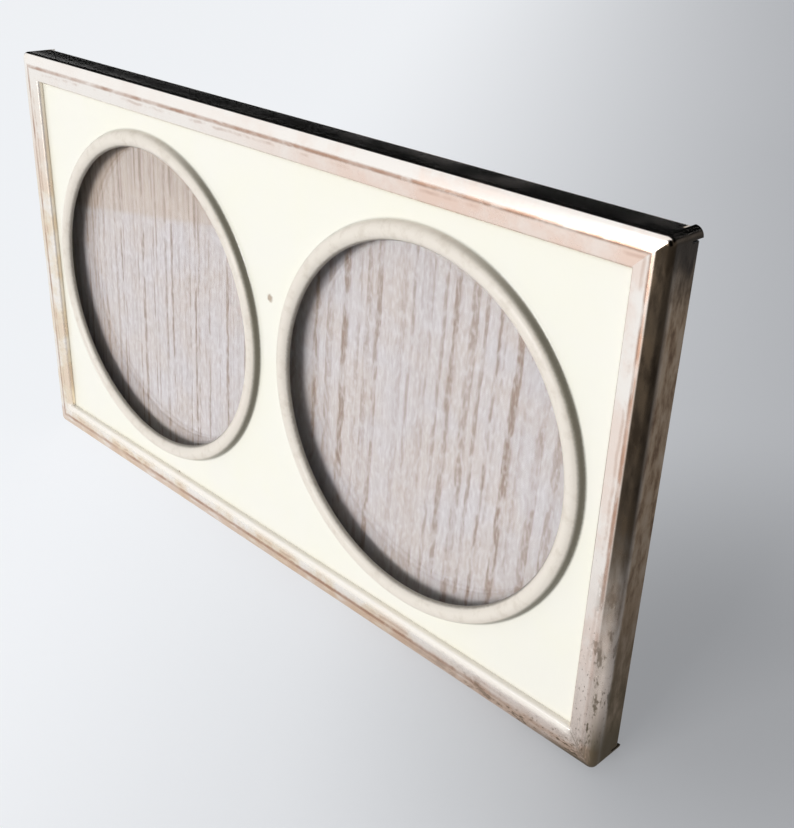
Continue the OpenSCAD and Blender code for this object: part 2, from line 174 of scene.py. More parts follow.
class FrameColours(bpy.types.PropertyGroup):
    """Colours of the photo frame's finishes"""

    plate: tint("Plate", "Silver toned plate", (0.98, 0.92, 0.85))
    worn: tint("Worn plate", "Rosy metal that shows where the plate is thin", (0.85, 0.64, 0.53))
    copper: tint("Crest wear", "Bare copper lines along the crest", (0.42, 0.24, 0.16))
    # On the right shoulder this brown is also painted dark reflection, stronger high up
    dull: tint("Dull plate", "Brown grey tone of the right wall", (0.30, 0.205, 0.12))
    tarnish: tint("Tarnish", "Dark brown runs and spots", (0.13, 0.075, 0.045))
    olive: tint("Olive tarnish", "Olive brown tarnish low on the right", (0.11, 0.088, 0.052))
    # Painted highlight: the pale, non-metal band on the bottom rail's inner edge
    bare: tint("Bare edge", "Pale edge of the bottom rail beside the panel", (0.95, 0.90, 0.82))
    # Painted reflection: the nearly black tone of the right shoulder stands for the dark that it mirrors
    burnt: tint("Blackened plate", "Nearly black tone of the right shoulder", (0.022, 0.015, 0.009))
    rubbed: tint("Rubbed plate", "Coppery tone of the bottom rail's outer edge", (0.66, 0.42, 0.27))
    gilt: tint("Yellowed plate", "Yellow tone of the left and bottom rails", (0.86, 0.70, 0.40))
    enamel: tint("Enamel", "Cream enamel of the panel", (0.935, 0.91, 0.815))
    enamel_aged: tint("Aged enamel", "Yellower clouds in the enamel", (0.95, 0.93, 0.74))
    # Painted shade: the rings' darker, greyer cream stands for how they are lit
    ring: tint("Rings", "Duller enamel of the two rings", (0.80, 0.73, 0.64))
    enamel_speck: tint("Enamel specks", "Brown specks in the enamel", (0.30, 0.17, 0.08))
    ring_grime: tint("Ring grime", "Brown haze on the rings", (0.58, 0.50, 0.40))
    # Painted shade: the darker enamel beside the moulding
    edge_grime: tint("Edge grime", "Grime on the enamel beside the moulding", (0.55, 0.47, 0.30))
    # Painted shadow: the dark line at the foot of each ring
    foot_grime: tint("Foot grime", "Dark grime at the foot of each ring", (0.15, 0.135, 0.095))
    # Painted shade: the dark brown of the rings' inner edge
    ring_lip: tint("Ring lip", "Bare inner edge of the rings", (0.10, 0.075, 0.05))
    glass: tint("Glass", "Clear glass", (0.97, 0.98, 0.97))
    paper: tint("Paper", "Ground of the picture cards", (0.36, 0.33, 0.34))
    paper_warm: tint("Warm paper", "Warmer clouds of the ground", (0.345, 0.28, 0.24))
    # Partly the paper's own flecks and partly a painted reflection of the floor in the glass
    paper_fleck: tint("Paper flecks", "Pale flecks between the fibres", (0.465, 0.45, 0.475))
    paper_grain: tint("Paper grain", "Brown strokes of the picture cards", (0.165, 0.10, 0.065))
    cover: tint("Cover", "Dark grained paper of the back", (0.062, 0.045, 0.037))
    scuff: tint("Scuffs", "Pale scuffs of the cover", (0.16, 0.12, 0.095))
    card: tint("Card", "Grey card inside", (0.42, 0.38, 0.32))
    hinge: tint("Hinge", "Satin plate of the hinge and buttons", (0.62, 0.60, 0.56))
    rivet: tint("Rivets", "Dull plate of the rivets", (0.60, 0.53, 0.40))
    metal_spot: tint("Metal spots", "Brown spots of the hinge and buttons", (0.20, 0.14, 0.09))
    floor: tint("Floor", "Pale floor", (0.80, 0.81, 0.83))
    backdrop: tint("Backdrop", "Pale tone behind and below the object", (0.95, 0.97, 1.0))
    backdrop_far: tint("Dim backdrop", "Grey tone on the side away from the light", (0.50, 0.51, 0.535))
    black_cloth: tint("Black cloth", "Dark cards that only reflections see", (0.004, 0.004, 0.004))
    cloth_nap: tint("Cloth nap", "Lighter clouds of the dark cards", (0.006, 0.006, 0.005))
    daylight: tint("Daylight", "Colour of the soft light all round", (0.90, 0.93, 0.97))


def sizes():
    return bpy.context.scene.photo_frame_sizes


def colours():
    return bpy.context.scene.photo_frame_colours


# Places


def outer_h():
    s = sizes()
    return s.sight_h + 2 * s.rail_w


def face_place():
    """From the upright drawing of the face, about its middle, to its leaning place."""
    turn = Matrix.Rotation(-LEAN, 4, "X")
    s = sizes()
    lip_middle = (s.lip_w + s.sheet_t) / 2
    on_face = Vector((BUTTON_PIVOT.x, s.back_y + s.seat, lip_middle - outer_h() / 2))
    return Matrix.Translation(BUTTON_PIVOT - turn @ on_face) @ turn


def strut_place():
    """From the drawing of the strut, hanging from the pin's axis, to its open place."""
    return Matrix.Translation(HINGE_PIVOT) @ Matrix.Rotation(sizes().spread - LEAN, 4, "X")


# Modelling tools


def close_mesh():
    bpy.ops.object.mode_set(mode="OBJECT")


def clear_selection():
    if bpy.context.object and bpy.context.object.mode != "OBJECT":
        close_mesh()
    bpy.ops.object.select_all(action="DESELECT")


def hold(piece):
    """Selects one piece alone and makes it the active one."""
    clear_selection()
    piece.select_set(True)
    bpy.context.view_layer.objects.active = piece


def pick_all():
    bpy.ops.mesh.select_all(action="SELECT")


def open_mesh(piece):
    """Opens a piece in edit mode with all of its mesh selected."""
    hold(piece)
    bpy.ops.object.mode_set(mode="EDIT")
    bpy.ops.mesh.select_mode(type="VERT")
    pick_all()


def apply_place():
    """Puts the place, turn and scale of the active piece into its mesh."""
    bpy.ops.object.transform_apply(location=True, rotation=True, scale=True)


def begin(name, add, **settings):
    """Adds a primitive and opens it in edit mode, all selected, with its place in its mesh."""
    clear_selection()
    add(**settings)
    piece = bpy.context.object
    piece.name = piece.data.name = name
    apply_place()
    open_mesh(piece)
    return piece


def edit_mesh():
    return bmesh.from_edit_mesh(bpy.context.object.data)


def pick(test, kind="verts"):
    """Selects the elements of the open mesh that pass the test, and nothing else."""
    mesh = edit_mesh()
    for group in (mesh.faces, mesh.edges, mesh.verts):
        for element in group:
            element.select = False
    for element in getattr(mesh, kind):
        if test(element):
            element.select_set(True)
    mesh.select_flush_mode()
    bmesh.update_edit_mesh(bpy.context.object.data)


def picked():
    return [v.index for v in edit_mesh().verts if v.select]


def pick_again(indices):
    """Selects the points with these numbers, and the edges between them."""
    wanted = set(indices)
    pick(lambda v: v.index in wanted)
    mesh = edit_mesh()
    for e in mesh.edges:
        if all(v.index in wanted for v in e.verts):
            e.select_set(True)
    bmesh.update_edit_mesh(bpy.context.object.data)


def move(offset):
    bpy.ops.transform.translate(value=offset)


def scale(factors, centre=(0, 0, 0)):
    bpy.ops.transform.resize(value=factors, center_override=centre)


def extrude_edges(offset=(0, 0, 0)):
    bpy.ops.mesh.extrude_edges_move(TRANSFORM_OT_translate={"value": offset})


def round_points(radius, segments):
    """Rounds the picked corners of the open mesh."""
    bpy.ops.mesh.bevel(offset=radius, segments=segments, profile=0.5, affect="VERTICES")


def weld(distance=TOUCH):
    """Merges the doubled points of the open mesh and turns its faces outwards."""
    pick_all()
    bpy.ops.mesh.remove_doubles(threshold=distance)
    pick_all()
    bpy.ops.mesh.normals_make_consistent(inside=False)
    bpy.ops.mesh.select_all(action="DESELECT")


def face(direction):
    """Turns all faces of the open mesh one way, with the largest of them FORWARDS or BACK."""
    pick_all()
    bpy.ops.mesh.normals_make_consistent(inside=False)
    flat = max(edit_mesh().faces, key=lambda f: f.calc_area())
    if flat.normal.y * direction < 0:
        bpy.ops.mesh.flip_normals()


def modify(piece, kind, **settings):
    """Adds a modifier with these settings and applies it."""
    hold(piece)
    modifier = piece.modifiers.new(kind.title(), kind)
    for key, value in settings.items():
        setattr(modifier, key, value)
    bpy.ops.object.modifier_apply(modifier=modifier.name)


def round_edges(piece, width, segments, sharp):
    """Bevels the edges that are sharper than so many degrees."""
    angle_limit = math.radians(sharp)
    modify(piece, "BEVEL", width=width, segments=segments, limit_method="ANGLE", angle_limit=angle_limit)


def join(pieces):
    """Joins the pieces into the first of them."""
    clear_selection()
    for piece in pieces:
        piece.select_set(True)
    bpy.context.view_layer.objects.active = pieces[0]
    bpy.ops.object.join()
    return pieces[0]


def settle(piece, place):
    """Moves a drawn piece to its place, with the place in its mesh."""
    hold(piece)
    piece.matrix_world = place @ piece.matrix_world
    apply_place()


def smooth(piece, sharp):
    """Shades a piece smooth but for edges sharper than so many degrees."""
    hold(piece)
    bpy.ops.object.shade_smooth_by_angle(angle=math.radians(sharp))


def dress(piece, material, body, slot, *nodes):
    """Gives a piece its finish, its body and the solids that it stands for. The slot is not used."""
    piece.data.materials.clear()
    piece.data.materials.append(material)
    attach(piece, body)
    if nodes:
        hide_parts(*nodes)


def arc(centre, radius, start, end, steps):
    """Points of an arc, as (across, forwards), both ends included."""
    return [
        (
            centre[0] + radius * math.cos(start + (end - start) * k / steps),
            centre[1] + radius * math.sin(start + (end - start) * k / steps),
        )
        for k in range(steps + 1)
    ]


def with_supports(points, gap):
    """Adds a point near both ends of each long stretch, so that it stays flat when it is smooth."""
    out = [points[0]]
    for a, b in zip(points, points[1:]):
        run = math.dist(a, b)
        if run > 4 * gap:
            for share in (gap / run, 1 - gap / run):
                out.append(tuple(p + (q - p) * share for p, q in zip(a, b)))
        out.append(b)
    return out


# Shader tools


class Wire:
    """A socket in a shader. Sums and products of wires and numbers add their Math nodes."""

    def __init__(self, graph, socket):
        self.graph = graph
        self.socket = socket

    def math(self, operation, *values):
        return self.graph.node("ShaderNodeMath", {"operation": operation}, dict(enumerate(values)))

    def __add__(self, other):
        return self.math("ADD", self, other)

    def __sub__(self, other):
        return self.math("SUBTRACT", self, other)

    def __rsub__(self, other):
        return self.math("SUBTRACT", other, self)

    def __mul__(self, other):
        return self.math("MULTIPLY", self, other)

    def __truediv__(self, other):
        return self.math("DIVIDE", self, other)

    def __pow__(self, other):
        return self.math("POWER", self, other)

    def __abs__(self):
        return self.math("ABSOLUTE", self)

    def larger(self, other):
        return self.math("MAXIMUM", self, other)

    def smaller(self, other):
        return self.math("MINIMUM", self, other)

    __radd__ = __add__
    __rmul__ = __mul__


class Graph:
    """The node tree of one material, or of the world."""

    def __init__(self, name, world=False):
        self.material = (bpy.data.worlds if world else bpy.data.materials).new(name)
        self.material.use_nodes = True
        self.tree = self.material.node_tree
        self.tree.nodes.clear()
        kind = "ShaderNodeOutputWorld" if world else "ShaderNodeOutputMaterial"
        self.output = self.tree.nodes.new(kind)

    def node(self, kind, settings=None, inputs=None, out=0):
        """Adds a node, sets it, joins its sockets to wires or values, and returns one of its outputs."""
        new = self.tree.nodes.new(kind)
        for key, value in (settings or {}).items():
            setattr(new, key, value)
        for key, value in (inputs or {}).items():
            socket = new.inputs[key]
            if isinstance(value, Wire):
                self.tree.links.new(value.socket, socket)
            else:
                socket.default_value = value
        return Wire(self, new.outputs[out])

    def drawing(self, place):
        """Object coordinates turned back to the upright drawing, in millimetres."""
        back = place.inverted()
        sockets = {
            "Vector": self.node("ShaderNodeTexCoord", out="Object"),
            "Location": back.to_translation() / MM,
            "Rotation": back.to_euler(),
            "Scale": (1 / MM,) * 3,
        }
        return self.node("ShaderNodeMapping", {}, sockets)

    def stretched(self, vector, factors, shift=(0, 0, 0)):
        """A vector times the factors, moved by the shift."""
        sockets = {0: vector, 1: factors, 2: shift}
        return self.node("ShaderNodeVectorMath", {"operation": "MULTIPLY_ADD"}, sockets)

    def parts(self, vector):
        """The three coordinates of a vector."""
        outputs = self.node("ShaderNodeSeparateXYZ", {}, {0: vector}).socket.node.outputs
        return [Wire(self, outputs[k]) for k in range(3)]

    def noise(self, vector, size, detail=3.0, rough=0.5):
        """Noise from 0 to 1 whose blots are about size millimetres."""
        sockets = {"Vector": vector, "Scale": 1 / size, "Detail": detail, "Roughness": rough}
        return self.node("ShaderNodeTexNoise", {}, sockets)

    def step(self, value, low, high, to=(0.0, 1.0)):
        """Smooth change between the two numbers of `to`, while value goes from low to high."""
        sockets = {"Value": value, "From Min": low, "From Max": high, "To Min": to[0], "To Max": to[1]}
        return self.node("ShaderNodeMapRange", {"interpolation_type": "SMOOTHSTEP"}, sockets)

    def blend(self, share, first, second):
        """Mix of two colours."""
        first, second = (v if isinstance(v, Wire) else (*v, 1) for v in (first, second))
        return self.node("ShaderNodeMix", {"data_type": "RGBA"}, {0: share, 6: first, 7: second}, out=2)

    def layers(self, ground, *coats):
        """A ground with coats of colour over it, each given by its share and its colour."""
        for share, tone in coats:
            ground = self.blend(share, ground, tone)
        return ground

    def joined(self, x, y, z=0.0):
        return self.node("ShaderNodeCombineXYZ", {}, {0: x, 1: y, 2: z})

    def bump(self, height, depth_mm, strength):
        sockets = {"Height": height, "Distance": depth_mm * MM, "Strength": strength}
        return self.node("ShaderNodeBump", {}, sockets)

    def finish(self, colour, **sockets):
        """Ends the material in a Principled shader."""
        inputs = {"Base Color": colour if isinstance(colour, Wire) else (*colour, 1)}
        inputs.update({key.replace("_", " "): value for key, value in sockets.items()})
        return self.end(self.node("ShaderNodeBsdfPrincipled", {}, inputs))

    def seen_directly(self):
        """1 for rays that the camera, a gloss or a glass sends out, and 0 for the light's own."""
        camera = self.node("ShaderNodeLightPath", out="Is Camera Ray")
        rays = camera.socket.node.outputs
        glossy, through = (Wire(self, rays[kind]) for kind in ("Is Glossy Ray", "Is Transmission Ray"))
        return camera.larger(glossy).larger(through)

    def end(self, shader):
        self.tree.links.new(shader.socket, self.output.inputs["Surface"])
        return self.material


# Finishes


def shade(tone, factor):
    """The same colour, darker or lighter."""
    return [v * factor for v in tone]


def distance(a, b):
    """How far a place is from the middle, from its two coordinates."""
    return (a * a + b * b) ** 0.5


def rail_places(g):
    """Places and noises on the moulding that its marks are made from, in millimetres."""
    s = sizes()
    m = SimpleNamespace(facet=s.facet_w / MM)
    spot = g.drawing(face_place())
    m.x, m.y, m.z = g.parts(spot)
    m.across = abs(m.x) - s.sight_w / MM / 2
    m.upright = abs(m.z) - s.sight_h / MM / 2
    m.outwards = m.across.larger(m.upright)
    # Along the rail and round its section, so that marks run with the pressing
    m.on_side = g.step(m.across - m.upright, -0.1, 0.1)
    m.run = m.z * m.on_side + m.x * (1 - m.on_side)
    m.girth = m.outwards + m.y
    m.streaks = g.noise(g.joined(m.run * 0.22, m.girth * 0.55, m.on_side * 9), 1.0, 4, 0.55)
    m.flecks = g.noise(g.joined(m.run * 1.1, m.girth * 2.6, m.on_side * 5), 1.0, 4, 0.6)
    m.sway = g.noise(g.joined(m.run * 0.10, m.on_side * 7), 1.0, 3, 0.6)
    m.cloud = g.noise(spot, 9.0, 4, 0.6)
    m.fine = g.noise(spot, 0.28, 3, 0.6)
    # Small shifts either way that break up the edge of a mark
    m.drift, m.broken, m.grit = m.streaks - 0.5, m.flecks - 0.5, m.fine - 0.5
    # Parts that have worn in their own way; the right and high ones also bound the painted dark
    # reflection on the right shoulder
    m.low_right = g.step(m.x, 30, 78) * g.step(m.z, 6, -38)
    m.right = g.step(m.x, 73.5, 76.0) * g.step(m.across - m.upright, -0.15, 0.25)
    m.high = g.step(m.z + m.drift * 16, -30, 6)
    m.wall = g.step(m.y, -0.6, 0.9) * g.step(m.outwards, 4.7, 5.4)
    return m


def crest_wear(g, m):
    """Copper along the crest: one line that swells and thins, and a fainter one beside it."""
    ridge = abs(m.outwards - m.facet - 0.02 + m.broken * 0.22)
    swell = g.step(m.sway + g.step(m.x, -50, 20) * 0.12, 0.42, 0.66, (0.50, 0.92))
    beside = abs(m.outwards - m.facet + 0.95 + (m.sway - 0.5) * 1.6)
    faint = g.step(beside, 0.45, 0.05) * g.step(m.cloud, 0.46, 0.60) * 0.35
    lines = (g.step(ridge, 0.56, 0.10) * swell).larger(faint)
    return lines * g.step(m.streaks, 0.30, 0.52, (0.45, 1.0)) * (1 - m.low_right * 0.75)


def rosy_wear(g, m):
    """Rosy clouds where the plate is thin, fewer at the top left and more on the top rail's facet."""
    clouds = g.step(m.cloud + m.drift * 0.25, 0.40, 0.66) * 0.50
    top_left = g.step(m.x, 30, -20) * g.step(m.z, 20, 36)
    top_rail = g.step(m.upright - m.across, 0, 0.3) * g.step(m.z, 30, 38)
    top_facet = top_rail * g.step(m.outwards, m.facet, m.facet - 0.5)
    top_wear = top_facet * g.step(m.x, -30, 40) * g.step(m.cloud, 0.30, 0.55, (0.45, 0.95))
    return (clouds * (1 - top_left * 0.7)).larger(m.low_right * 0.45).larger(top_wear)


def right_end_tarnish_and_reflection(g, m):
    """Where the right wall has gone brown with tarnish, and the painted dark reflection on the right
    shoulder: brown, and nearly black high up and at its top end.
    """
    beyond = m.right * g.step(m.outwards, m.facet + 0.25, m.facet + 0.60)
    # The right wall is tarnished brown; on the shoulder the brown, stronger high up, is painted dark
    # reflection
    dull = (m.right * m.wall).larger(beyond * (m.high * 0.60 + 0.30))
    dull = dull * g.step(m.streaks, 0.30, 0.62, (0.88, 1.0))
    # Painted reflection: the right shoulder is nearly black high up and at its top end, for the dark
    # that it mirrors beside the camera
    black = beyond * (1 - m.wall) * m.high * g.step(m.streaks, 0.30, 0.65, (0.97, 0.86))
    return dull, black.larger(beyond * g.step(m.z + m.drift * 10, 30, 41) * 0.95)


def tarnish_marks(g, m):
    """Runs, blots and specks, most of them low on the right and about its bottom corner."""
    runs = g.step(m.streaks + m.broken * 0.20, 0.42, 0.74)
    runs = runs * (m.right * m.wall * (m.high * 0.35 + 0.55) + m.low_right * 0.15)
    blots = g.step(m.streaks + m.broken * 0.5, 0.53, 0.63) * m.low_right
    blots = blots * g.step(m.outwards, 1.2, 3.0) * 0.90
    corner = g.step(m.x, 71, 80) * g.step(m.z, -32, -43)
    corner = corner * g.step(m.flecks + (m.cloud - 0.5) * 0.5, 0.40, 0.60) * 0.75
    specks = g.step(m.flecks + m.low_right * 0.10, 0.68, 0.76) * (0.25 + m.low_right * 0.65)
    # A dark line along the moulding's inner edge beside the panel, left off the bottom rail
    foot = g.step(m.outwards + m.broken * 0.5, 0.42, 0.0) * g.step(m.z, -37, -30, (0.0, 0.30))
    mitre = g.step(abs(m.across - m.upright) + m.grit * 0.3, 0.35, 0.05)
    mitre = mitre * g.step(m.x, 60, 76) * g.step(m.z, -20, -38) * 0.6
    under = g.step(m.outwards + m.broken, 3.4, 4.8) * g.step(m.x, 60, 78) * g.step(m.z, -28, -40) * 0.9
    low_wall = m.right * m.wall * g.step(m.z, -2, -30) * g.step(m.streaks, 0.30, 0.60, (0.35, 0.75))
    marks = runs
    for mark in (blots, corner, specks, foot, mitre, under, low_wall):
        marks = marks.larger(mark)
    return marks


def plated_metal():
    """Silver toned plate, worn rosy along the crest and dulled to brown on the right wall, with a
    painted dark reflection on the right shoulder.
    """
    c = colours()
    g = Graph("worn_plate")
    m = rail_places(g)
    left = g.step(m.x, -70, -76) * g.step(m.z, 30, 5, (0.2, 1.0))
    bottom = g.step(m.z, -36, -39) * g.step(m.x, 60, 20)
    yellow = left.larger(bottom) * g.step(m.cloud, 0.35, 0.6) * 0.6
    # The bottom rail is rubbed to copper towards its outer edge; at its inner edge a pale, non-metal
    # band is a painted highlight
    rubbed = g.step(m.z, -38.5, -40.0) * g.step(m.outwards + m.broken * 1.6, 1.6, 3.6)
    rubbed = rubbed * g.step(m.streaks, 0.30, 0.55, (0.25, 0.65))
    bare = g.step(m.z, -37.2, -38.0) * g.step(m.outwards + m.broken * 0.5, 1.9, 0.5)
    bare = bare * g.step(m.x, 76.0, 74.0)
    crest, rosy, stain = crest_wear(g, m), rosy_wear(g, m), tarnish_marks(g, m)
    dull, black = right_end_tarnish_and_reflection(g, m)
    colour = g.layers(
        c.plate,
        (yellow, c.gilt),
        (rosy, c.worn),
        (rubbed, c.rubbed),
        (dull, c.dull),
        (crest, c.copper),
        (stain, g.blend(m.low_right, c.tarnish, c.olive)),
        (black, c.burnt),
        (bare * 0.9, c.bare),
    )
    dents = g.noise(g.joined(m.run * 0.35, m.girth * 0.8, m.on_side * 3), 1.0, 3)
    rough = 0.15 + rosy * 0.15 + dull * 0.22 - black * 0.14 + crest * 0.12 + stain * 0.20 + m.grit * 0.06
    return g.finish(
        colour,
        Metallic=1.0 - bare * 0.95,
        Roughness=rough,
        Normal=g.bump(dents * 0.6 + m.fine * 0.12 - stain * 0.10, 0.012, 0.5),
    )


def cream_enamel():
    """Glossy baked enamel with a few brown specks, and painted shade on the rings, at their foot and
    inner edge, and along the panel's edges.
    """
    s, c = sizes(), colours()
    g = Graph("cream_enamel")
    spot = g.drawing(face_place())
    x, y, z = g.parts(spot)
    cloud = g.noise(spot, 14.0, 3)
    fine = g.noise(spot, 0.35, 4, 0.6)
    grit = fine - 0.5
    pits = g.node("ShaderNodeTexVoronoi", {"feature": "F1"}, {"Vector": spot, "Scale": 1 / 7.0})
    rare = g.noise(g.stretched(spot, (1, 1, 1), (31.0, 7.0, 12.0)), 11.0, 1)
    specks = g.step(pits, 0.055, 0.020) * g.step(rare, 0.60, 0.66)
    dust = g.step(fine, 0.70, 0.78) * g.step(cloud, 0.50, 0.70) * 0.35
    # One larger spot between the rings
    chip = g.step(distance(x - 0.3, z - 11.7) + grit * 1.2, 1.0, 0.35) * 0.7
    # Painted shade on the flat beside the moulding, weaker along the bottom edge
    inwards = (s.sight_w / MM / 2 - abs(x)).smaller(s.sight_h / MM / 2 - abs(z))
    edge = g.step(inwards + grit * 0.6, 0.8, 0.0) * g.step(z, -37.5, -34, (0.1, 0.4))
    # The rings are a darker, greyer cream than the flat, which is painted shade, with a painted shadow
    # line at their foot, strongest on their right side
    ring, bead = s.ring_r / MM, s.bead_r / MM
    side_x = abs(x) - s.window_pitch / MM / 2
    reach = distance(side_x, z)
    on_ring = g.step(abs(reach - ring), bead + 0.08, bead - 0.12)
    haze = on_ring * g.step(g.noise(spot, 2.2, 4, 0.65), 0.48, 0.70) * 0.35
    rightwards = side_x * (1 - g.step(x, 0.1, -0.1) * 2) + z * 0.08
    foot = g.step(abs(reach - ring - bead + 0.15) + grit * 0.2, 0.62, 0.05)
    foot = foot * g.step(rightwards, 2, 27, (0.10, 0.95))
    # Painted shade on the rings' inner edge, where they turn down over the windows
    ring_lip = g.step(reach + grit * 0.3, ring - 1.15, ring - 1.6) * 0.75
    colour = g.layers(
        c.enamel,
        (g.step(cloud, 0.3, 0.8) * 0.35, c.enamel_aged),
        (on_ring * 0.9, c.ring),
        (haze, c.ring_grime),
        (edge, c.edge_grime),
        (foot, c.foot_grime),
        (ring_lip, c.ring_lip),
        (specks.larger(dust).larger(chip), c.enamel_speck),
    )
    wave = g.noise(spot, 8.0, 2) * 0.8 + fine * 0.06
    return g.finish(
        colour,
        Roughness=0.18 + on_ring * 0.24 + dust * 0.4 + (cloud - 0.5) * 0.08,
        Coat_Weight=g.step(dust + on_ring, 0.0, 0.3, (0.5, 0.08)),
        Normal=g.bump(wave - specks * 0.2, 0.10, 0.35),
    )


def window_glass():
    """Clear polished glass that lets the lamps through."""
    g = Graph("window_glass")
    sockets = {"Base Color": (*colours().glass, 1), "Roughness": 0.0, "IOR": 1.5}
    sockets["Transmission Weight"] = 1.0
    glass = g.node("ShaderNodeBsdfPrincipled", {}, sockets)
    clear = g.node("ShaderNodeBsdfTransparent")
    shadow_ray = g.node("ShaderNodeLightPath", out="Is Shadow Ray")
    return g.end(g.node("ShaderNodeMixShader", {}, {0: shadow_ray, 1: glass, 2: clear}))


def grain_paper(name, lane_w, dash_l, shift, brown_from):
    """Printed paper with broken upright strokes in lanes, like a wood grain, browner at its top, which
    is painted shade where the glass in front of it mirrors nothing pale.
    """
    c = colours()
    g = Graph(name)
    x, y, z = g.parts(g.drawing(face_place()))
    # The lanes lean and sway a little
    sway = g.noise(g.joined(z * 0.05, shift), 1.0, 1) * 0.9
    lane_x = x - z * 0.05 + sway + shift
    lanes = g.noise(g.joined(lane_x / lane_w, 3.0), 1.0, 1, 0.4)
    strong = g.noise(g.joined(lane_x / (lane_w * 3.2), 8.0), 1.0, 1)
    dashes = g.noise(g.joined(lane_x / lane_w, z / dash_l), 1.0, 2, 0.5)
    fibres = g.noise(g.joined(lane_x * 2.4, z * 0.30), 1.0, 3, 0.6)
    mottle = g.noise(g.joined(x * 1.2, z * 0.42), 0.75, 3, 0.55)
    cloud = g.noise(g.joined(x, z), 13.0, 2)
    # Painted shade: the card is browner above brown_from, where the glass in front of it mirrors nothing
    # pale
    brown = g.step(z - x * 0.15 + (mottle - 0.5) * 1.5, brown_from - 0.8, brown_from + 0.8)
    line = g.step(lanes + brown * 0.02, 0.46, 0.58) * g.step(dashes, 0.38, 0.56, (0.10, 1.0))
    line = line * g.step(strong, 0.40, 0.58, (0.35, 1.0)) * g.step(mottle, 0.72, 0.40, (0.60, 0.95))
    faint = g.step(lanes, 0.42, 0.62) * 0.22 + g.step(fibres, 0.48, 0.72) * 0.24
    # The pale flecks are partly the paper's own and partly a painted reflection of the floor in the
    # glass, fewer where the top is browner
    flecks = g.step(mottle, 0.40, 0.72) * (0.50 - brown * 0.30) * (1 - line * 0.75)
    colour = g.layers(
        c.paper,
        ((g.step(cloud, 0.35, 0.65) * 0.55).larger(brown), c.paper_warm),
        (line.larger(faint), c.paper_grain),
        (flecks, c.paper_fleck),
    )
    return g.finish(colour, Roughness=0.72 + mottle * 0.12, Normal=g.bump(mottle, 0.015, 0.3))


def grained_cover(name, place):
    """Dark paper with a pressed leather grain, over board."""
    c = colours()
    g = Graph(name)
    spot = g.drawing(place)
    warp = g.joined(g.noise(spot, 2.0, 2) * 0.8, 0.0)
    bent = g.node("ShaderNodeVectorMath", {"operation": "ADD"}, {0: spot, 1: warp})
    sockets = {"Vector": bent, "Scale": 1 / 0.85}
    grain = g.node("ShaderNodeTexVoronoi", {"feature": "DISTANCE_TO_EDGE"}, sockets)
    soft = g.noise(spot, 1.2, 3)
    cloud = g.noise(spot, 20.0, 4, 0.6)
    scuff = g.noise(g.stretched(spot, (0.25, 1, 0.6), (5.0, 0, 2.0)), 1.5, 3, 0.6)
    rub = g.step(cloud + (soft - 0.5) * 0.6, 0.52, 0.72) * 0.45
    marks = g.step(scuff, 0.68, 0.76) * 0.35
    height = g.step(grain, 0.0, 0.20)
    colour = g.layers(
        shade(c.cover, 0.45),
        (height, c.cover),
        (rub * height, shade(c.cover, 1.9)),
        (marks * height, c.scuff),
    )
    rough = 0.36 + rub * 0.5 + marks * 0.4 + (1 - height) * 0.25
    return g.finish(colour, Roughness=rough, Normal=g.bump(height * 0.8 + soft * 0.3, 0.10, 0.8))


def grey_card():
    """Plain grey card with loose fibres."""
    c = colours()
    g = Graph("grey_card")
    fibre = g.noise(g.stretched(g.drawing(face_place()), (0.6, 1, 2.4)), 1.0, 4, 0.7)
    colour = g.blend(g.step(fibre, 0.35, 0.65) * 0.4, c.card, shade(c.card, 0.8))
    return g.finish(colour, Roughness=0.85 + fibre * 0.05, Normal=g.bump(fibre, 0.03, 0.4))


def small_metal(name, tone, brush, dull):
    """Satin plate of the hinge, buttons and rivets, brushed along the height."""
    g = Graph(name)
    spot = g.node("ShaderNodeTexCoord", out="Object")
    lines = g.noise(g.stretched(spot, (brush / MM, 0.2 / MM, 0.12 / MM)), 1.0, 3, 0.6)
    cloud = g.noise(g.stretched(spot, (1 / MM,) * 3), 2.5, 4, 0.6)
    spots = g.step(cloud, 0.60, 0.75) * 0.6
    brushed = g.step(lines, 0.3, 0.7) * 0.3
    colour = g.layers(tone, (brushed, shade(tone, 0.75)), (spots, colours().metal_spot))
    rough = dull + (lines - 0.5) * 0.15 + spots * 0.25
    return g.finish(colour, Metallic=1.0, Roughness=rough, Normal=g.bump(lines, 0.01, 0.5))


# Pieces


def moulding_profile(inset):
    """The moulding's face from the foot of its wall to its inner edge, as (outwards, forwards).

    The inset draws it in, for the inner face of the sheet.
    """
    s = sizes()
    rise, fall, up = math.atan2(s.crest_h - s.edge_h, s.facet_w), s.shoulder_fall, math.pi / 2

    def facet_v(u, depth):
        return s.edge_h + u * math.tan(rise) - depth / math.cos(rise)

    bend_u = s.rail_w - s.shoulder_r
    bend = (bend_u, s.crest_h - (bend_u - s.facet_w) * math.tan(fall) - s.shoulder_r / math.cos(fall))
    edge = (s.edge_r, facet_v(s.edge_r, s.edge_r))
    # The crest: a small arc outside, and a plain corner inside
    round_r = max(s.crest_r, inset)
    slip = round_r * (1 / math.cos(rise) - 1 / math.cos(fall)) / (math.tan(rise) + math.tan(fall))
    crest = (s.facet_w + slip, facet_v(s.facet_w + slip, round_r))
    crest_line = [crest] if inset else arc(crest, s.crest_r, up - fall, up + rise, 3)
    return (
        [(s.rail_w - inset, -s.tab_y)]
        + arc(bend, s.shoulder_r - inset, 0, up - fall, 9)
        + crest_line
        + arc(edge, s.edge_r - inset, up + rise, 2 * up, 7)
        + [(inset, s.seat)]
    )


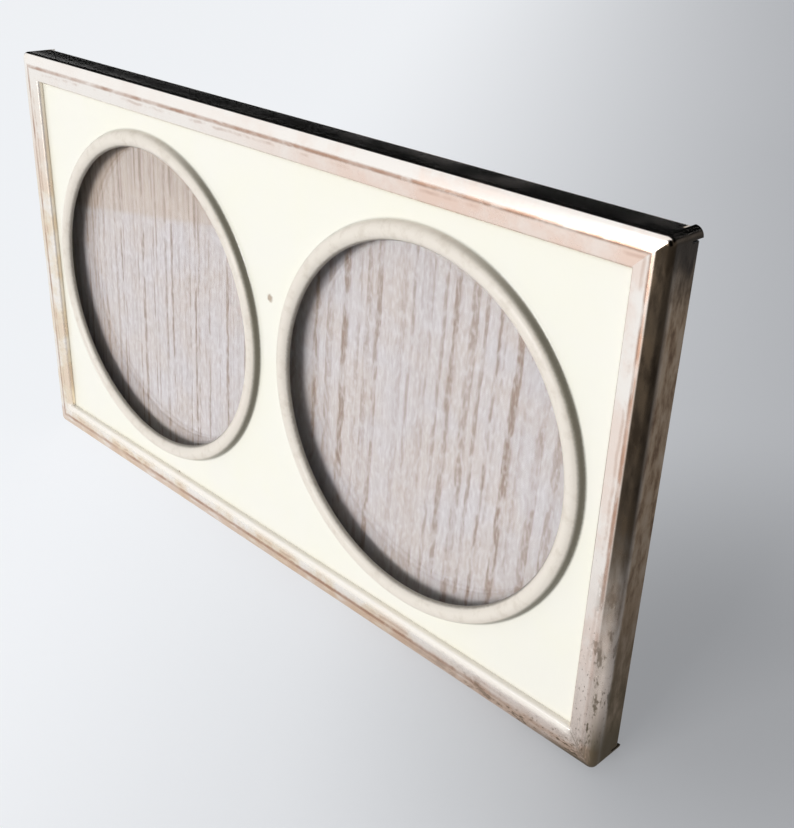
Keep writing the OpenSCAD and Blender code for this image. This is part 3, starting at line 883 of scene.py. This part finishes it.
def sweep_frame(name, profile):
    """Runs a profile round the frame by extruding its outline loop by loop, with round outer corners."""
    s = sizes()
    u, v = profile[0]
    inner = s.rail_w - s.corner_r
    half = (s.sight_w / 2, s.sight_h / 2)
    piece = begin(name, bpy.ops.mesh.primitive_plane_add, size=2, rotation=UPRIGHT)
    scale((half[0] + u, 1, half[1] + u))
    round_points(u - inner, 10)
    pick_all()
    bpy.ops.mesh.delete(type="ONLY_FACE")
    pick_all()
    move((0, -v, 0))
    for new_u, new_v in profile[1:]:
        extrude_edges((0, v - new_v, 0))
        loop = picked()
        if new_u != u:
            co = {p.index: p.co.copy() for p in edit_mesh().verts}
            radius, new_radius = max(0.0, u - inner), max(0.0, new_u - inner)
            shift = min(new_u, inner) - min(u, inner)
            for side_x in (-1, 1):
                for side_z in (-1, 1):
                    pick_again([i for i in loop if co[i].x * side_x > 0 and co[i].z * side_z > 0])
                    if radius > 0:
                        centre = (side_x * (half[0] + inner), 0, side_z * (half[1] + inner))
                        scale((new_radius / radius, 1, new_radius / radius), centre)
                    if shift:
                        move((side_x * shift, 0, side_z * shift))
        pick_again(loop)
        u, v = new_u, new_v
    weld(2 * TOUCH)
    close_mesh()
    return piece


def box(name, low, high):
    """A block between two corners."""
    clear_selection()
    bpy.ops.mesh.primitive_cube_add(size=1)
    piece = bpy.context.object
    piece.name = name
    piece.scale = [b - a for a, b in zip(low, high)]
    piece.location = [(a + b) / 2 for a, b in zip(low, high)]
    apply_place()
    return piece


def along(side, start, end, depth_a, depth_b, out_a, out_b):
    """Corners of a block beside one rail: start to end along it, outwards from out_a to out_b."""
    sign = 1 if side in ("top", "right") else -1
    near, far = sorted((sign * out_a, sign * out_b))
    if side in ("top", "bottom"):
        return (start, depth_a, near), (end, depth_b, far)
    return (near, depth_a, start), (far, depth_b, end)


def cut(piece, cutters):
    """Cuts the joined blocks out of a piece."""
    tool = join(cutters)
    modify(piece, "BOOLEAN", object=tool, operation="DIFFERENCE", solver="EXACT")
    bpy.data.objects.remove(tool)


def lip(side, sight, far):
    """One lip, folded in from a side wall: its flat, the bend and the foot of the wall."""
    s = sizes()
    inner_u = s.rail_w - s.lip_w
    end = sight / 2 + s.rail_w - s.corner_r - s.slit_w
    # The lips are mitred where they meet, with a slit's width between them
    gap = s.slit_w * math.sqrt(2) / 2
    mitred_end = min(end, sight / 2 + inner_u - gap)
    back = -s.back_y
    rows = [(inner_u, back, mitred_end), (end - sight / 2 + gap, back, end)]
    bend = arc((s.rail_w - s.fold_r, back + s.fold_r), s.fold_r, -math.pi / 2, 0, 5)
    rows += [(u, v, end) for u, v in bend]
    rows.append((s.rail_w, back + 1.6 * s.fold_r, end))
    piece = begin("lip_" + side, bpy.ops.mesh.primitive_plane_add, size=2)
    pick(lambda p: p.co.y > 0)
    bpy.ops.mesh.delete(type="VERT")
    pick_all()
    u, v, reach = rows[0]
    scale((reach, 1, 1))
    move((0, 1 - v, far + u))
    for new_u, new_v, new_reach in rows[1:]:
        extrude_edges((0, v - new_v, new_u - u))
        scale((new_reach / reach, 1, 1))
        u, v, reach = new_u, new_v, new_reach
    face(BACK)
    close_mesh()
    modify(piece, "SOLIDIFY", thickness=s.sheet_t, offset=-1, use_even_offset=True)
    quarter_turns = ("top", "right", "bottom", "left").index(side)
    settle(piece, Matrix.Rotation(quarter_turns * math.pi / 2, 4, "Y"))
    return piece


def build_moulding():
    """The pressed metal surround."""
    s = sizes()
    under = moulding_profile(s.sheet_t)
    # The outer face carries the two cut edges of the sheet, which end on the inner face
    outer = [under[0]] + moulding_profile(0.0) + [under[-1]]
    paths = [with_supports(path, BEND_STRIP) for path in (outer, under)]
    piece = join([sweep_frame("metal_surround", path) for path in paths])
    open_mesh(piece)
    weld()
    close_mesh()
    # Each rail's distance from the middle of the face, and half its length between the corners
    half = {"top": s.sight_h / 2, "bottom": s.sight_h / 2, "left": s.sight_w / 2, "right": s.sight_w / 2}
    other = {"top": "right", "bottom": "right", "left": "top", "right": "top"}
    ends = {side: half[other[side]] + s.rail_w - s.corner_r for side in half}
    deep = s.tab_y + OVERRUN
    trims, slits = [], []
    for side in half:
        out_a, out_b = half[side] + s.rail_w - s.lip_w, half[side] + s.rail_w + OVERRUN
        end = ends[side]
        trims.append(box("trim", *along(side, -end, end, s.back_y - s.fold_r, deep, out_a, out_b)))
        for start, stop in ((-end, s.slit_w - end), (end - s.slit_w, end)):
            slits.append(box("slit", *along(side, start, stop, s.back_y - s.slit_l, deep, out_a, out_b)))
    cut(piece, trims)
    cut(piece, slits)
    lips = [lip(side, 2 * half[other[side]], half[side]) for side in half]
    piece = join([piece] + lips)
    smooth(piece, 34)
    settle(piece, face_place())
    dress(piece, plated_metal(), "frame", "plated_metal", "frame_shell")


def bead_profile():
    """Section of a raised ring up to its free edge, as (from the window's axis, forwards)."""
    s = sizes()
    foot = s.foot_r
    # The fillet touches the panel and the half round
    reach = math.sqrt((s.bead_r + foot) ** 2 - foot**2)
    meet = math.atan2(foot, reach)
    points = arc((s.ring_r + reach, foot), foot, -math.pi / 2, -math.pi + meet, 4)
    return points + arc((s.ring_r, 0), s.bead_r, meet, math.pi / 2 + s.bead_turn, 22)[1:]


def build_panel():
    """The enamelled panel with its two rings and its turned back rim."""
    s = sizes()
    profile = bead_profile()
    centre = (s.window_pitch / 2, 0, 0)
    bend = s.panel_bend
    radius, v = profile[0]
    piece = begin(
        "enamel_panel",
        bpy.ops.mesh.primitive_circle_add,
        vertices=s.ring_steps,
        radius=radius,
        fill_type="NOTHING",
        rotation=UPRIGHT,
        location=centre,
    )
    # The flat of the panel: a wide ring cut down to half of the rectangle, with narrow strips along
    # the ring's foot and the rim that keep it flat when it is smooth
    inner = radius
    for outer in (radius + PANEL_STRIP, s.stack_w):
        extrude_edges()
        scale((outer / inner, 1, outer / inner), centre)
        inner = outer
    sides = [
        ((0, 0, 0), (-1, 0, 0)),
        ((s.stack_w / 2 - bend, 0, 0), (1, 0, 0)),
        ((0, 0, s.stack_h / 2 - bend), (0, 0, 1)),
        ((0, 0, bend - s.stack_h / 2), (0, 0, -1)),
    ]
    for point, normal in sides:
        pick_all()
        bpy.ops.mesh.bisect(plane_co=point, plane_no=normal, clear_outer=True)
    for point, normal in sides[1:]:
        pick_all()
        bpy.ops.mesh.bisect(plane_co=Vector(point) - Vector(normal) * PANEL_STRIP, plane_no=normal)
    # The ring, loop by loop over its section
    pick(lambda p: math.dist(p.co, centre) < radius + PANEL_STRIP / 2)
    ring_radius = radius
    for new_radius, new_v in profile[1:]:
        extrude_edges((0, v - new_v, 0))
        scale((new_radius / ring_radius, 1, new_radius / ring_radius), centre)
        ring_radius, v = new_radius, new_v
    close_mesh()
    modify(piece, "MIRROR", use_axis=(True, False, False), merge_threshold=2 * TOUCH)
    open_mesh(piece)
    # The rim: round the outer edge over, then straight back
    edge_x, edge_z = s.stack_w / 2 - bend, s.stack_h / 2 - bend

    def on_edge(e):
        return all(abs(p.co.x) > edge_x - TOUCH or abs(p.co.z) > edge_z - TOUCH for p in e.verts)

    pick(lambda e: e.is_boundary and on_edge(e), "edges")
    out, v = 0.0, 0.0
    for new_out, new_v in arc((0, -bend), bend, math.pi / 2, 0, 4)[1:] + [(bend, -s.rim_d)]:
        extrude_edges((0, v - new_v, 0))
        scale(((edge_x + new_out) / (edge_x + out), 1, (edge_z + new_out) / (edge_z + out)))
        out, v = new_out, new_v
    weld()
    face(FORWARDS)
    close_mesh()
    modify(piece, "SOLIDIFY", thickness=s.panel_t, offset=-1, use_even_offset=True)
    smooth(piece, 38)
    settle(piece, face_place())
    dress(piece, cream_enamel(), "frame", "cream_enamel", "mat_panel")


def build_board():
    """The covered back board, its edges rounded by the turned in paper."""
    s = sizes()
    low = (-s.stack_w / 2, s.board_y, -s.stack_h / 2)
    high = (s.stack_w / 2, s.board_y + s.board_t, s.stack_h / 2)
    piece = box("covered_back_board", low, high)
    round_edges(piece, s.board_edge, 4, 30)
    smooth(piece, 35)
    settle(piece, face_place())
    dress(piece, grained_cover("board_cover", face_place()), "frame", "covered_board", "back_board")


def build_strut():
    """The covered strut, widening to a foot that is cut to the table."""
    s = sizes()
    middle = -(s.strut_l + s.strut_top) / 2
    piece = begin("covered_strut", bpy.ops.mesh.primitive_plane_add, size=2, rotation=UPRIGHT)
    scale((s.strut_foot_w / 2, 1, (s.strut_l - s.strut_top) / 2))
    move((0, 0, middle))
    pick(lambda p: p.co.z > middle)
    scale((s.strut_top_w / s.strut_foot_w, 1, 1))
    pick(lambda p: p.co.z < middle)
    round_points(s.strut_round, 8)
    pick_all()
    move((0, -s.strut_y, 0))
    bpy.ops.mesh.extrude_region_move(TRANSFORM_OT_translate={"value": (0, s.strut_t, 0)})
    weld()
    close_mesh()
    round_edges(piece, s.strut_edge, 4, 50)
    settle(piece, strut_place())
    open_mesh(piece)
    bpy.ops.mesh.bisect(
        plane_co=(0, 0, 0), plane_no=(0, 0, -1), clear_outer=True, use_fill=True, threshold=TOUCH
    )
    weld()
    close_mesh()
    smooth(piece, 35)
    dress(piece, grained_cover("strut_cover", strut_place()), "easel", "covered_board", "strut_board")


def soften(node, body, material, slot, width):
    """A copy of a small metal node with its points merged and its edges softened, in its place."""
    source = frame["nodes"][node]
    source.hide_set(False)
    piece = source.copy()
    piece.data = source.data.copy()
    piece.name = piece.data.name = "softened_" + node
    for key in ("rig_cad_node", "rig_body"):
        if key in piece:
            del piece[key]
    piece.parent = None
    bpy.context.scene.collection.objects.link(piece)
    open_mesh(piece)
    bpy.ops.mesh.remove_doubles(threshold=2 * TOUCH)
    pick_all()
    bpy.ops.mesh.dissolve_limited(angle_limit=math.radians(1))
    close_mesh()
    if width:
        round_edges(piece, width, 2, 40)
    smooth(piece, 40)
    dress(piece, material, body, slot, node)


def build_metalwork():
    """Hinge, pin, rivets and turn buttons."""
    edge, c = sizes().metal_edge, colours()
    steel = small_metal("satin_plate", c.hinge, 1.2, 0.30)
    dull = small_metal("rivet_plate", c.rivet, 0.5, 0.38)
    soften("hinge_plate", "frame", steel, "hinge_steel", edge)
    soften("hinge_pin", "frame", steel, "hinge_steel", edge)
    soften("hinge_plate_rivets", "frame", dull, "rivet_steel", 0)
    soften("button_rivets", "frame", dull, "rivet_steel", 0)
    soften("strut_leaf", "easel", steel, "hinge_steel", edge)
    soften("strut_leaf_rivets", "easel", dull, "rivet_steel", 0)
    for node in [n for n in frame["nodes"] if n.startswith("button_") and n != "button_rivets"]:
        soften(node, node, steel, "hinge_steel", edge)


def paint(node, material):
    """Gives a solid of the construction its finish."""
    mesh = frame["nodes"][node].data
    mesh.materials.clear()
    mesh.materials.append(material)


def build_stack():
    """Glass, picture cards and filler card, which keep their solids."""
    paint("glass_pane", window_glass())
    paint("insert_left", grain_paper("fine_grain_paper", 1.15, 8.0, 11.0, 22.3))
    paint("insert_right", grain_paper("coarse_grain_paper", 1.9, 6.5, 3.0, 60.0))
    paint("filler_board", grey_card())


# Stage

FLOOR_R = 3.0
LAMP_PLACE = (-0.10, -1.06, 0.36)
LAMP_TARGET = (0, 0, 0.04)
LAMP_SIZE = (0.6, 0.32)
LAMP_POWER = 6.5
LAMP_COLOUR = (1.0, 0.99, 0.98)
# Name, place, target and size of each dark card. The top wall mirrors the left back of the room, its
# bend the ceiling, and the right sides of the rings whoever stands at the camera
DARK_CARDS = (
    ("back_card", (-1.9, 1.5, 0.45), (0, 0, 0.10), (3.4, 1.5)),
    ("ceiling_card", (0, 3.1, 1.15), (0, 3.1, 0), (6.0, 6.0)),
    ("camera_card", (0.34, -0.26, 0.30), (0, 0, 0.05), (0.45, 0.50)),
)
CAMERA_PLACE = (0.14906, -0.10680, 0.15157)
CAMERA_DEGREES = (54.7213, 6.4796, 44.9268)
# Millimetres
CAMERA_LENS = 48.855
SENSOR_W = 36.0


def aim(thing, place, target, axis):
    """Places an object with one of its axes towards the target."""
    thing.location = place
    thing.rotation_euler = (Vector(target) - Vector(place)).to_track_quat(axis, "Y").to_euler()


def window_light():
    """The soft lamp at the front left."""
    lamp = bpy.data.lights.new("window_light", "AREA")
    lamp.shape = "RECTANGLE"
    lamp.size, lamp.size_y = LAMP_SIZE
    lamp.energy = LAMP_POWER
    lamp.color = LAMP_COLOUR
    holder = bpy.data.objects.new("window_light", lamp)
    aim(holder, LAMP_PLACE, LAMP_TARGET, "-Z")
    bpy.context.scene.collection.objects.link(holder)


def dark_card(name, place, target, size):
    """A dark card beside the object that only its reflections show, as a studio sets against metal."""
    clear_selection()
    bpy.ops.mesh.primitive_plane_add(size=1)
    card = bpy.context.object
    card.name = name
    open_mesh(card)
    scale((*size, 1))
    close_mesh()
    aim(card, place, target, "Z")
    card.visible_camera = card.visible_diffuse = card.visible_shadow = card.visible_transmission = False
    g = Graph(name)
    nap = g.noise(g.node("ShaderNodeTexCoord", out="Object"), 0.02, 2)
    tone = g.blend(nap, colours().black_cloth, colours().cloth_nap)
    card.data.materials.append(g.finish(tone, Roughness=0.9, Specular_IOR_Level=0.0))


def pale_floor():
    """Pale floor that keeps its shadow near the object, with painted shade that dims its glow towards
    the right and back and beside the right end, and runs into the backdrop far off.
    """
    c = colours()
    g = Graph("pale_floor")
    spot = g.node("ShaderNodeTexCoord", out="Object")
    tone = g.blend(g.noise(spot, 0.25, 2) * 0.06, c.floor, shade(c.floor, 0.9))
    lit = g.node("ShaderNodeBsdfPrincipled", {}, {"Base Color": tone, "Roughness": 0.75})
    x, y = g.parts(spot)[:2]
    far_off = g.step(distance(x, y), 0.30, 1.10)
    # Painted shade: the glow dims towards the right and back, away from the lamp; haze is that dimmed
    # glow colour
    away = g.step(x * 0.9 + y * 0.55, -0.08, 0.17) * (1 - far_off)
    # A painted shadow on the floor's glow beside the right end
    right_end_shadow = g.step(distance(x - 0.088, y - 0.010), 0.080, 0.01) * 0.42
    haze = g.blend(away, c.backdrop, c.backdrop_far)
    glow = g.node("ShaderNodeEmission", {}, {"Color": haze, "Strength": 1 - right_end_shadow})
    share = g.seen_directly() * (0.85 - away * 0.35).larger(far_off)
    return g.end(g.node("ShaderNodeMixShader", {}, {0: share, 1: lit, 2: glow}))


def pale_room():
    """World light: brighter from the front left, dimmer from the right, and a pale backdrop."""
    c = colours()
    g = Graph("pale_room", world=True)
    x, y, z = g.parts(g.node("ShaderNodeTexCoord", out="Generated"))
    light = g.step(x * -0.50 + y * -0.66 + z * 0.50, -0.3, 1.0, (0.06, 0.72))
    ambient = g.node("ShaderNodeBackground", {}, {"Color": (*c.daylight, 1), "Strength": light})
    seen = g.node("ShaderNodeBackground", {}, {"Color": (*c.backdrop, 1), "Strength": 1.0})
    return g.end(g.node("ShaderNodeMixShader", {}, {0: g.seen_directly(), 1: ambient, 2: seen}))


def set_camera():
    lens = bpy.data.cameras.new("camera")
    lens.sensor_width = SENSOR_W
    lens.lens = CAMERA_LENS
    lens.clip_start = 0.01
    camera = bpy.data.objects.new("camera", lens)
    camera.location = CAMERA_PLACE
    camera.rotation_euler = Euler([math.radians(a) for a in CAMERA_DEGREES])
    bpy.context.scene.collection.objects.link(camera)
    bpy.context.scene.camera = camera


def build_stage():
    """Pale floor, soft studio light and the camera."""
    clear_selection()
    bpy.ops.mesh.primitive_circle_add(vertices=96, radius=FLOOR_R, fill_type="NGON")
    floor = bpy.context.object
    floor.name = "floor"
    floor.data.materials.append(pale_floor())
    window_light()
    bpy.context.scene.world = pale_room()
    for card in DARK_CARDS:
        dark_card(*card)
    set_camera()
    bpy.context.scene.view_settings.view_transform = "Standard"


# Operators and panel


class FRAME_OT_stage(bpy.types.Operator):
    """Add the floor, the lights and the camera"""

    bl_idname = "photo_frame.stage"
    bl_label = "Stage"

    def execute(self, context):
        build_stage()
        return {"FINISHED"}


class FRAME_OT_moulding(bpy.types.Operator):
    """Model the pressed moulding with its lips, slits and tabs"""

    bl_idname = "photo_frame.moulding"
    bl_label = "Metal surround"

    def execute(self, context):
        build_moulding()
        return {"FINISHED"}


class FRAME_OT_panel(bpy.types.Operator):
    """Model the panel with its two raised rings"""

    bl_idname = "photo_frame.panel"
    bl_label = "Enamel panel"

    def execute(self, context):
        build_panel()
        return {"FINISHED"}


class FRAME_OT_stack(bpy.types.Operator):
    """Give the glass and the cards their finishes"""

    bl_idname = "photo_frame.stack"
    bl_label = "Glass and cards"

    def execute(self, context):
        build_stack()
        return {"FINISHED"}


class FRAME_OT_board(bpy.types.Operator):
    """Model the covered back board"""

    bl_idname = "photo_frame.board"
    bl_label = "Back board"

    def execute(self, context):
        build_board()
        return {"FINISHED"}


class FRAME_OT_strut(bpy.types.Operator):
    """Model the covered strut"""

    bl_idname = "photo_frame.strut"
    bl_label = "Strut"

    def execute(self, context):
        build_strut()
        return {"FINISHED"}


class FRAME_OT_metalwork(bpy.types.Operator):
    """Soften the hinge, the rivets and the turn buttons"""

    bl_idname = "photo_frame.metalwork"
    bl_label = "Hinge and buttons"

    def execute(self, context):
        build_metalwork()
        return {"FINISHED"}


STEPS = [
    FRAME_OT_stage,
    FRAME_OT_moulding,
    FRAME_OT_panel,
    FRAME_OT_stack,
    FRAME_OT_board,
    FRAME_OT_strut,
    FRAME_OT_metalwork,
]


class FRAME_PT_panel(bpy.types.Panel):
    """Lists the photo frame's pieces, sizes and colours"""

    bl_label = "Double Photo Frame"
    bl_idname = "FRAME_PT_panel"
    bl_space_type = "VIEW_3D"
    bl_region_type = "UI"
    bl_category = CATEGORY

    def draw(self, context):
        for step in STEPS:
            self.layout.operator(step.bl_idname)
        for group in (sizes(), colours()):
            area = self.layout.box()
            for name in group.bl_rna.properties.keys():
                if name not in ("rna_type", "name"):
                    area.prop(group, name)


CLASSES = [FrameSizes, FrameColours, *STEPS, FRAME_PT_panel]


def register():
    for cls in CLASSES:
        bpy.utils.register_class(cls)
    bpy.types.Scene.photo_frame_sizes = PointerProperty(type=FrameSizes)
    bpy.types.Scene.photo_frame_colours = PointerProperty(type=FrameColours)


def unregister():
    del bpy.types.Scene.photo_frame_colours
    del bpy.types.Scene.photo_frame_sizes
    for cls in reversed(CLASSES):
        bpy.utils.unregister_class(cls)


def main():
    register()
    for step in STEPS:
        group, name = step.bl_idname.split(".")
        getattr(getattr(bpy.ops, group), name)()
    clear_selection()


if __name__ == "__main__":
    main()
